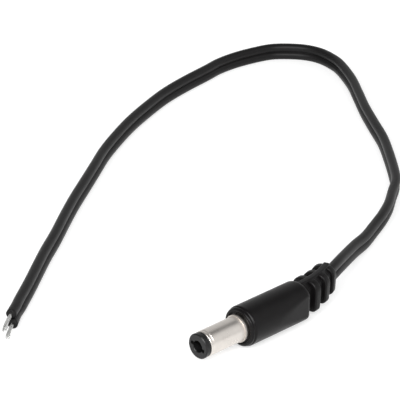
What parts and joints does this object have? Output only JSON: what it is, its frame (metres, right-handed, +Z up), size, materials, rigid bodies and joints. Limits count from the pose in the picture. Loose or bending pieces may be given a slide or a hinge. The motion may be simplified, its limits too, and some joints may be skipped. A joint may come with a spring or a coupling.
{
  "type": "dc barrel plug",
  "caption": "Moulded DC barrel plug with a slotted centre contact, a ribbed bent strain relief and a short two-core lead with bare tinned ends.",
  "frame": {"origin": "on the barrel's axis, in the front face of the black moulding, which a socket's face meets", "axes": "+X along the barrel's axis towards the lead, +Z up from the table that the plug lies on, +Y to the side that the strain relief bends to"},
  "size_m": [0.1529, 0.1099, 0.0088],
  "materials": {
    "nickel_plate": "nickel plated, satin polish",
    "black_insulator": "moulded, satin",
    "contact_spring": "phosphor bronze, plain",
    "cream_insulator": "natural plastic",
    "tinned_brass": "thin tin plating",
    "solder": "soft solder, slightly dull",
    "tinned_strands": "tinned copper strands",
    "inner_moulding": "natural plastic",
    "black_moulding": "soft PVC, satin",
    "lead_insulation": "soft PVC, satin"
  },
  "bodies": {
    "root": {"barrel_sleeve": "nickel_plate", "tip_insulator": "black_insulator", "centre_contact": "contact_spring", "rear_insulator": "cream_insulator", "sleeve_tag": "tinned_brass", "centre_solder": "solder", "sleeve_solder": "solder", "centre_strands": "tinned_strands", "sleeve_strands": "tinned_strands", "inner_mould": "inner_moulding", "overmould": "black_moulding", "cable": "lead_insulation", "long_leg": "lead_insulation", "short_leg": "lead_insulation", "long_tinned_end": "tinned_strands", "short_tinned_end": "tinned_strands"}
  },
  "joints": []
}
